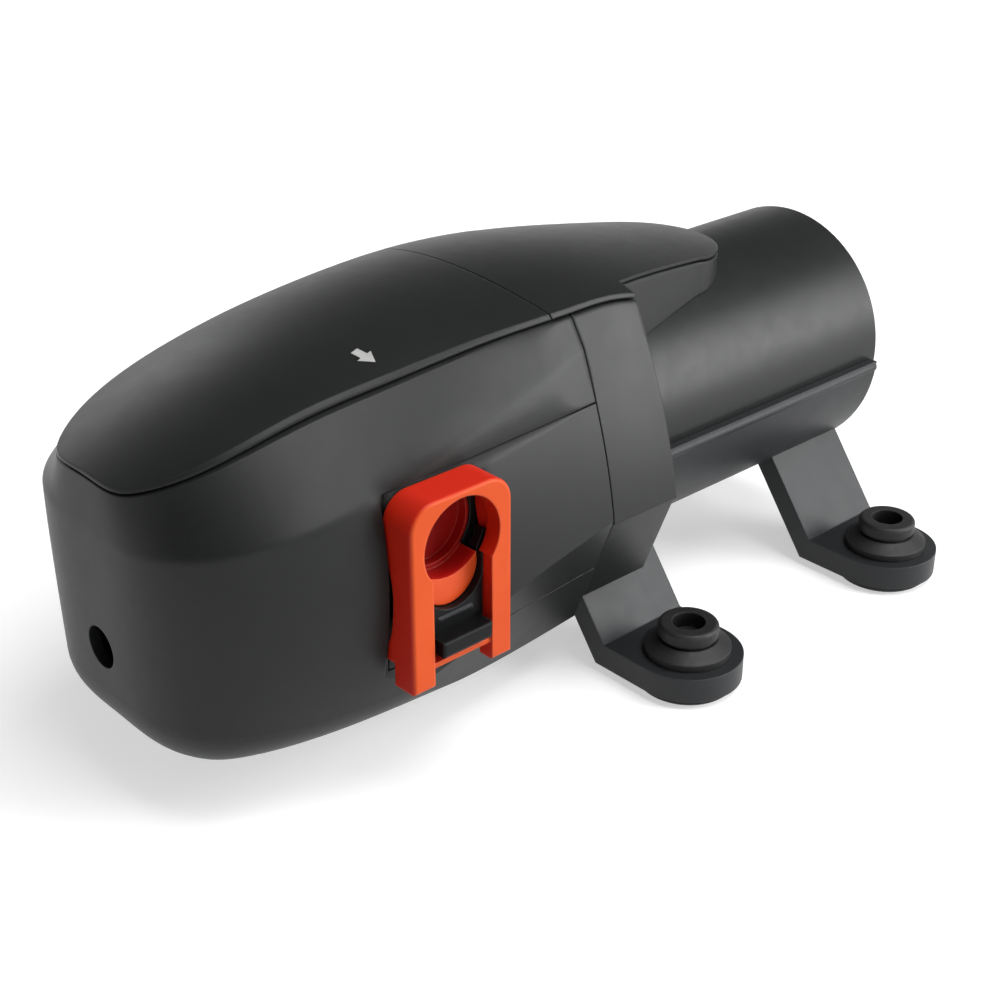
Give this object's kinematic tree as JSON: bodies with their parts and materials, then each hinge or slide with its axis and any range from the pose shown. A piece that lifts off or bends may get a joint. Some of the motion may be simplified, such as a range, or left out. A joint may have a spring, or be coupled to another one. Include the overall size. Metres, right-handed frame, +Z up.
{
  "type": "diaphragm water pump",
  "caption": "Self-priming diaphragm water pump with a closed nose housing, round motor in a cradle, slide-locked side ports and rubber-mounted feet.",
  "frame": {"origin": "centre of the four foot holes, on the surface that the feet stand on", "axes": "+X to the side with the outlet port, +Y along the pump towards the motor's rear, +Z up"},
  "size_m": [0.1296, 0.2143, 0.0951],
  "materials": {
    "housing_plastic": "satin charcoal moulding",
    "lid_plastic": "satin charcoal moulding",
    "can_paint": "satin charcoal paint",
    "cradle_plastic": "satin grey-black moulding",
    "clip_orange": "satin orange moulding",
    "plug_orange": "satin orange moulding",
    "latch_black": "black moulding",
    "foot_rubber": "black rubber",
    "seal_rubber": "black rubber",
    "head_plastic": "black glass-filled moulding",
    "steel": "ground steel",
    "cam_metal": "cast and machined",
    "rotor_iron": "stacked laminations",
    "copper": "copper",
    "ferrite": "sintered"
  },
  "bodies": {
    "pump": {"front_cover": "housing_plastic", "front_lid": "lid_plastic", "rear_lid": "lid_plastic", "rear_housing": "housing_plastic", "side_panel_right": "housing_plastic", "side_panel_left": "housing_plastic", "motor_can": "can_paint", "motor_front_plate": "cam_metal", "motor_end_cap": "can_paint", "shaft_bearings": "steel", "motor_magnets": "ferrite", "brushes": "ferrite", "brush_card": "head_plastic", "drive_housing": "head_plastic", "bearing_outer_race": "steel", "bearing_balls": "steel", "wobble_plate": "head_plastic", "pistons": "head_plastic", "diaphragm": "seal_rubber", "valve_plate": "head_plastic", "valve_discs": "seal_rubber", "pump_head": "head_plastic", "head_screws": "steel", "switch_body": "head_plastic", "switch_spring": "steel", "microswitch": "head_plastic", "motor_cradle": "cradle_plastic", "foot_grommets": "foot_rubber"},
    "rotor": {"armature": "rotor_iron", "armature_windings": "copper", "commutator": "copper", "motor_shaft": "steel", "eccentric_cam": "cam_metal", "bearing_inner_race": "steel"},
    "adjusting_screw": {"adjusting_screw": "steel"},
    "switch_plunger": {"switch_plunger": "head_plastic"},
    "clip_right": {"port_clip_right": "clip_orange"},
    "latch_right": {"port_latch_right": "latch_black"},
    "plug_right": {"port_plug_right": "plug_orange", "plug_ring_right": "seal_rubber"},
    "clip_left": {"port_clip_left": "clip_orange"},
    "latch_left": {"port_latch_left": "latch_black"},
    "plug_left": {"port_plug_left": "plug_orange", "plug_ring_left": "seal_rubber"}
  },
  "joints": [
    {"name": "motor_spin", "type": "hinge", "parent": "pump", "child": "rotor", "pos_m": [0, 0, 0.0508], "axis": [0, 1, 0], "continuous": true},
    {"name": "adjusting_screw_turn", "type": "hinge", "parent": "pump", "child": "adjusting_screw", "pos_m": [0, -0.14, 0.036], "axis": [0, -1, 0], "continuous": true},
    {"name": "switch_plunger_slide", "type": "slide", "parent": "pump", "child": "switch_plunger", "axis": [0, -1, 0], "range_m": [0, 0.001], "stiffness_N_per_m": 1500},
    {"name": "clip_right_slide", "type": "slide", "parent": "pump", "child": "clip_right", "axis": [0, 0, 1], "range_m": [-0.0086, 0]},
    {"name": "latch_right_press", "type": "slide", "parent": "pump", "child": "latch_right", "axis": [-1, 0, 0], "range_m": [0, 0.0012], "stiffness_N_per_m": 1500},
    {"name": "plug_right_pull", "type": "slide", "parent": "pump", "child": "plug_right", "axis": [1, 0, 0], "range_m": [0, 0.03]},
    {"name": "clip_left_slide", "type": "slide", "parent": "pump", "child": "clip_left", "axis": [0, 0, 1], "range_m": [-0.0086, 0]},
    {"name": "latch_left_press", "type": "slide", "parent": "pump", "child": "latch_left", "axis": [1, 0, 0], "range_m": [0, 0.0012], "stiffness_N_per_m": 1500},
    {"name": "plug_left_pull", "type": "slide", "parent": "pump", "child": "plug_left", "axis": [-1, 0, 0], "range_m": [0, 0.03]}
  ]
}
